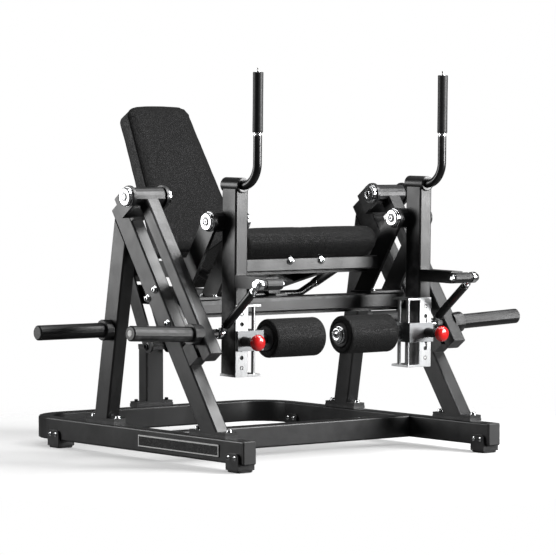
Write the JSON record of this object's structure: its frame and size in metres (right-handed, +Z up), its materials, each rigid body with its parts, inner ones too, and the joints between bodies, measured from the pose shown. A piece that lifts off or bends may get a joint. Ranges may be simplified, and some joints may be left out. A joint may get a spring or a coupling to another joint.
{
  "type": "leg extension machine",
  "caption": "Plate-loaded leg extension bench: padded seat and back on a black tube frame, with swinging levers, shin rollers, upright handles and linked weight arms.",
  "frame": {"origin": "centre of the machine's footprint, on the floor", "axes": "+Z up; the seated user faces -Y; the user's left hand is on +X"},
  "size_m": [1.6486, 1.3775, 1.2747],
  "materials": {
    "frame_paint": "satin black powder coat with a fine texture",
    "chrome": "polished chrome",
    "hole_plate": "bright plated steel, lightly brushed",
    "carriage_steel": "satin grey plated steel",
    "pad_leather": "black grained artificial leather over foam",
    "grip_rubber": "matt black rubber",
    "rubber_pad": "matt black moulded rubber",
    "cap_plastic": "matt black moulded plastic",
    "red_knob": "glossy red plastic",
    "name_plate_metal": "black enamelled plate with a bare metal border, no lettering"
  },
  "bodies": {
    "base_frame": {"base_rail_left": "frame_paint", "base_rail_right": "frame_paint", "base_rear_tube": "frame_paint", "base_cross_tube": "frame_paint", "rail_end_cap_left": "cap_plastic", "rail_end_cap_right": "cap_plastic", "foot_front_left": "frame_paint", "foot_front_right": "frame_paint", "foot_rear_left": "frame_paint", "foot_rear_right": "frame_paint", "foot_pad_front_left": "rubber_pad", "foot_pad_front_right": "rubber_pad", "foot_pad_rear_left": "rubber_pad", "foot_pad_rear_right": "rubber_pad", "front_post_left": "frame_paint", "front_post_right": "frame_paint", "rear_post_left": "frame_paint", "rear_post_right": "frame_paint", "storage_horn_left": "frame_paint", "storage_horn_right": "frame_paint", "pivot_shaft_left": "chrome", "pivot_shaft_right": "chrome", "knee_crossbar": "frame_paint", "knee_bracket_left": "frame_paint", "knee_bracket_right": "frame_paint", "knee_shaft_left": "chrome", "knee_shaft_right": "chrome", "stop_pad_left": "rubber_pad", "stop_pad_right": "rubber_pad", "seat_column": "frame_paint", "centre_beam": "frame_paint", "seat_frame": "frame_paint", "seat_cushion": "pad_leather", "back_cushion": "pad_leather", "back_support": "frame_paint", "seat_handle_left": "frame_paint", "seat_handle_right": "frame_paint", "seat_grip_left": "grip_rubber", "seat_grip_right": "grip_rubber", "name_plate": "name_plate_metal"},
    "lever_left": {"lever_left": "frame_paint", "adjuster_left": "hole_plate", "top_handle_left": "frame_paint"},
    "top_grip_left": {"top_grip_left": "grip_rubber"},
    "carriage_left": {"carriage_left": "carriage_steel"},
    "pull_pin_left": {"pull_pin_left": "red_knob"},
    "roller_left": {"roller_left": "pad_leather"},
    "weight_arm_left": {"weight_arm_left": "frame_paint"},
    "link_left": {"link_left": "frame_paint"},
    "lever_right": {"lever_right": "frame_paint", "adjuster_right": "hole_plate", "top_handle_right": "frame_paint"},
    "top_grip_right": {"top_grip_right": "grip_rubber"},
    "carriage_right": {"carriage_right": "carriage_steel"},
    "pull_pin_right": {"pull_pin_right": "red_knob"},
    "roller_right": {"roller_right": "pad_leather"},
    "weight_arm_right": {"weight_arm_right": "frame_paint"},
    "link_right": {"link_right": "frame_paint"}
  },
  "joints": [
    {"name": "lever_hinge_left", "type": "hinge", "parent": "base_frame", "child": "lever_left", "pos_m": [0.387, -0.39575, 0.782], "axis": [-1, 0, 0], "range_deg": [0, 70]},
    {"name": "weight_arm_hinge_left", "type": "hinge", "parent": "base_frame", "child": "weight_arm_left", "pos_m": [0.513, -0.12875, 0.859], "axis": [-1, 0, 0], "range_deg": [0, 37]},
    {"name": "link_hinge_left", "type": "hinge", "parent": "lever_left", "child": "link_left", "pos_m": [0.447, -0.64994, 0.58825], "axis": [1, 0, 0], "range_deg": [0, 28.5]},
    {"name": "top_grip_spin_left", "type": "hinge", "parent": "lever_left", "child": "top_grip_left", "pos_m": [0.387, -0.56565, 1.16255], "axis": [0, -0.0147, 0.9999], "continuous": true},
    {"name": "carriage_slide_left", "type": "slide", "parent": "lever_left", "child": "carriage_left", "axis": [0, -0.0147, 0.9999], "range_m": [-0.054, 0.054]},
    {"name": "pull_pin_slide_left", "type": "slide", "parent": "carriage_left", "child": "pull_pin_left", "axis": [0, -0.9999, -0.0147], "range_m": [0, 0.01], "stiffness_N_per_m": 800, "springref_m": -0.004},
    {"name": "roller_spin_left", "type": "hinge", "parent": "carriage_left", "child": "roller_left", "pos_m": [0.15, -0.43867, 0.40133], "axis": [1, 0, 0], "continuous": true},
    {"name": "lever_hinge_right", "type": "hinge", "parent": "base_frame", "child": "lever_right", "pos_m": [-0.387, -0.39575, 0.782], "axis": [-1, 0, 0], "range_deg": [0, 70]},
    {"name": "weight_arm_hinge_right", "type": "hinge", "parent": "base_frame", "child": "weight_arm_right", "pos_m": [-0.513, -0.12875, 0.859], "axis": [-1, 0, 0], "range_deg": [0, 37]},
    {"name": "link_hinge_right", "type": "hinge", "parent": "lever_right", "child": "link_right", "pos_m": [-0.447, -0.64994, 0.58825], "axis": [1, 0, 0], "range_deg": [0, 28.5]},
    {"name": "top_grip_spin_right", "type": "hinge", "parent": "lever_right", "child": "top_grip_right", "pos_m": [-0.387, -0.56565, 1.16255], "axis": [0, -0.0147, 0.9999], "continuous": true},
    {"name": "carriage_slide_right", "type": "slide", "parent": "lever_right", "child": "carriage_right", "axis": [0, -0.0147, 0.9999], "range_m": [-0.054, 0.054]},
    {"name": "pull_pin_slide_right", "type": "slide", "parent": "carriage_right", "child": "pull_pin_right", "axis": [0, -0.9999, -0.0147], "range_m": [0, 0.01], "stiffness_N_per_m": 800, "springref_m": -0.004},
    {"name": "roller_spin_right", "type": "hinge", "parent": "carriage_right", "child": "roller_right", "pos_m": [-0.15, -0.43867, 0.40133], "axis": [1, 0, 0], "continuous": true}
  ],
  "couplings": [
    {"joint": "weight_arm_hinge_left", "follows": "lever_hinge_left", "ratio": 0.52},
    {"joint": "link_hinge_left", "follows": "lever_hinge_left", "ratio": 0.4},
    {"joint": "weight_arm_hinge_right", "follows": "lever_hinge_right", "ratio": 0.52},
    {"joint": "link_hinge_right", "follows": "lever_hinge_right", "ratio": 0.4}
  ]
}
